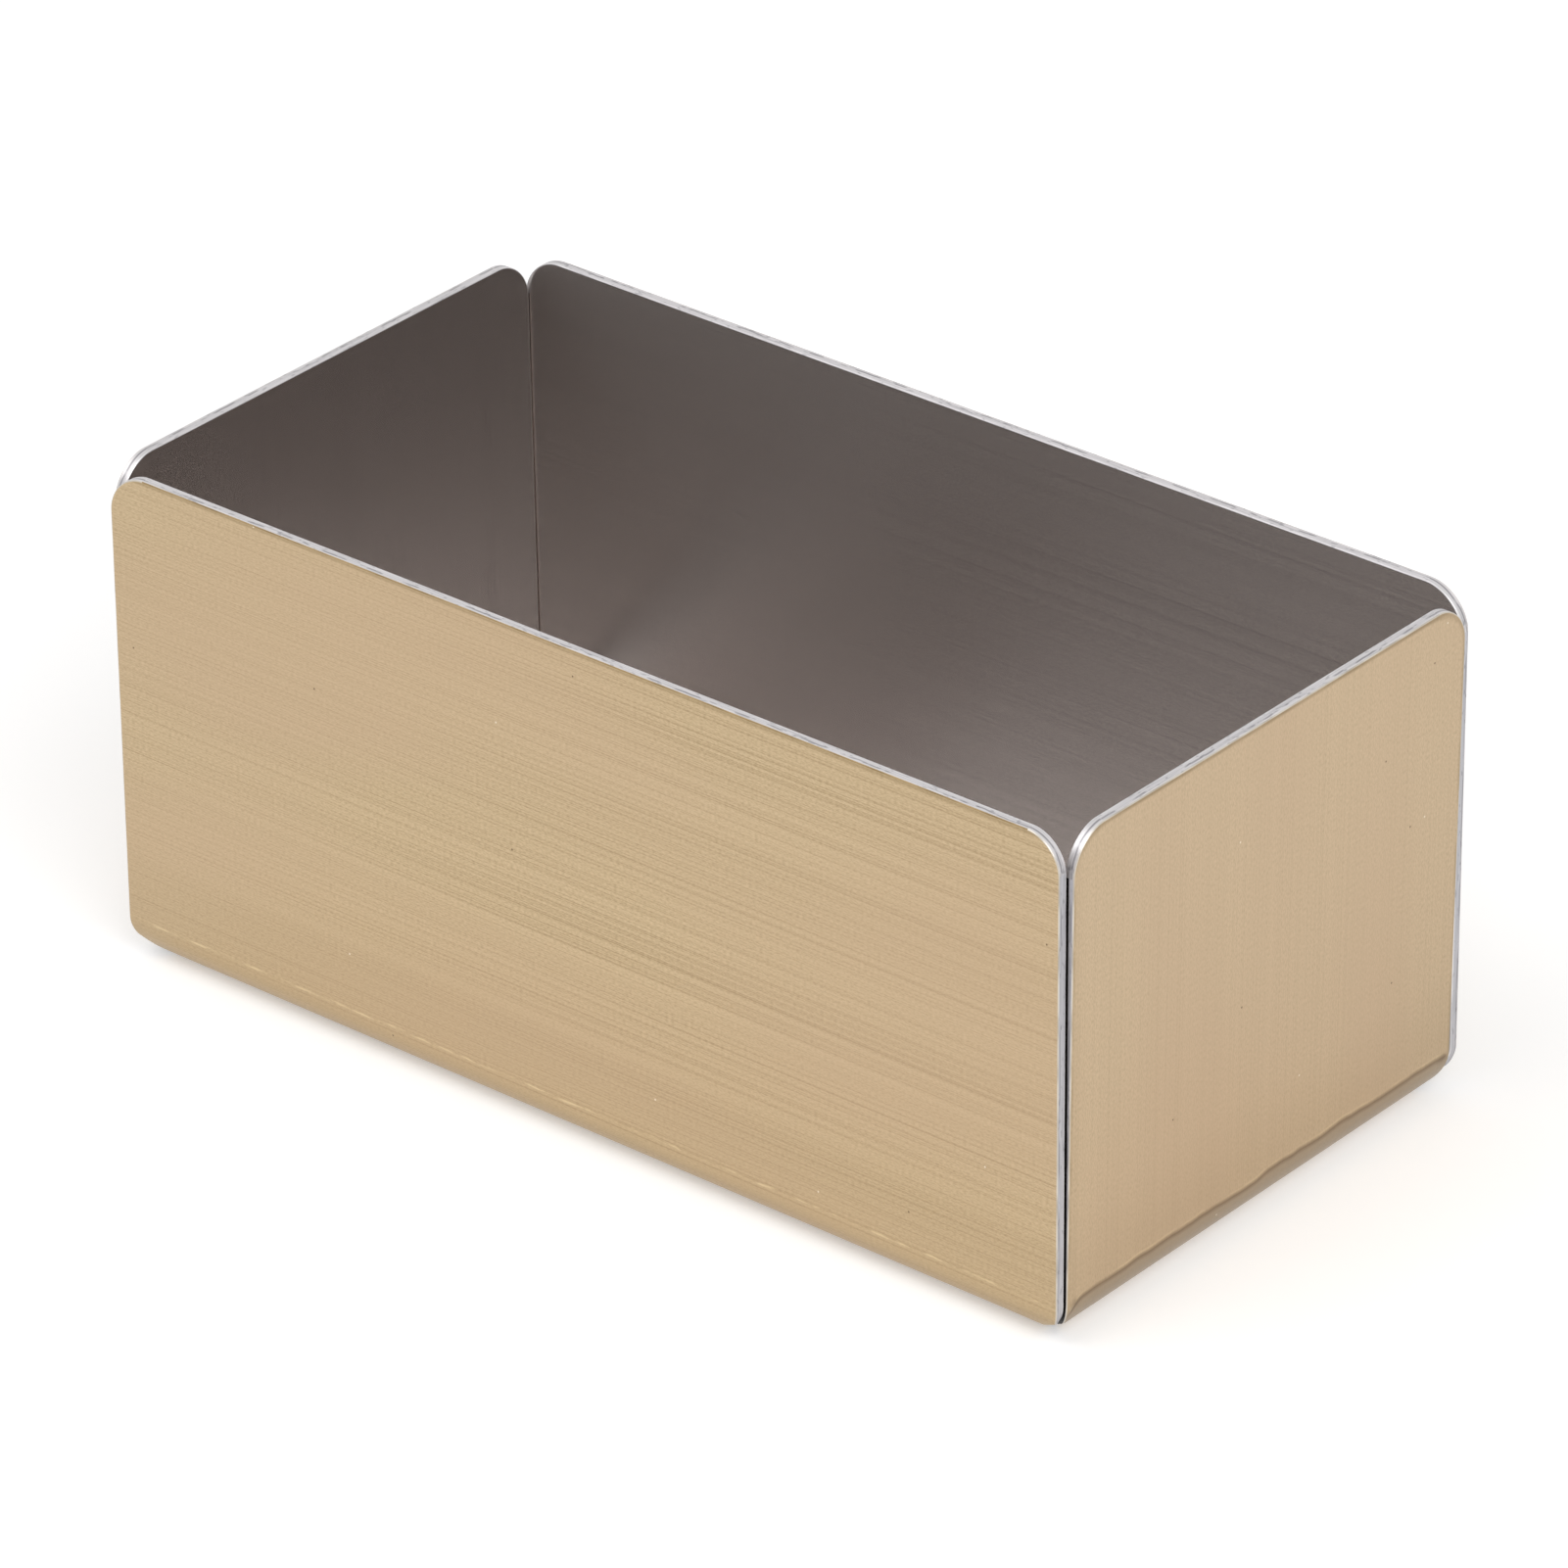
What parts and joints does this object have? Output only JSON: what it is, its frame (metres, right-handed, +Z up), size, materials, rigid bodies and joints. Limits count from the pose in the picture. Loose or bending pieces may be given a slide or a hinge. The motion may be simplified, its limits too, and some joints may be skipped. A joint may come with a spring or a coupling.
{
  "type": "sugar packet holder",
  "caption": "Open rectangular table holder for sugar packets, folded from steel sheet with a gold outer finish, with rounded upper wall corners and open corner seams.",
  "frame": {"origin": "centre of the flat underside that the holder stands on", "axes": "+X along the length towards the right end wall, +Y across the width towards the back wall, +Z up"},
  "size_m": [0.1312, 0.069, 0.06],
  "materials": {
    "bare_steel": "bare, fine hairline brushing, bright on the cut edges",
    "gold_finish": "champagne gold tint over fine hairline brushing"
  },
  "bodies": {
    "root": {"floor_panel": "bare_steel", "front_wall": "bare_steel", "back_wall": "bare_steel", "left_wall": "bare_steel", "right_wall": "bare_steel", "front_bend": "bare_steel", "back_bend": "bare_steel", "left_bend": "bare_steel", "right_bend": "bare_steel", "floor_finish": "gold_finish", "front_wall_finish": "gold_finish", "back_wall_finish": "gold_finish", "left_wall_finish": "gold_finish", "right_wall_finish": "gold_finish", "front_bend_finish": "gold_finish", "back_bend_finish": "gold_finish", "left_bend_finish": "gold_finish", "right_bend_finish": "gold_finish"}
  },
  "joints": []
}
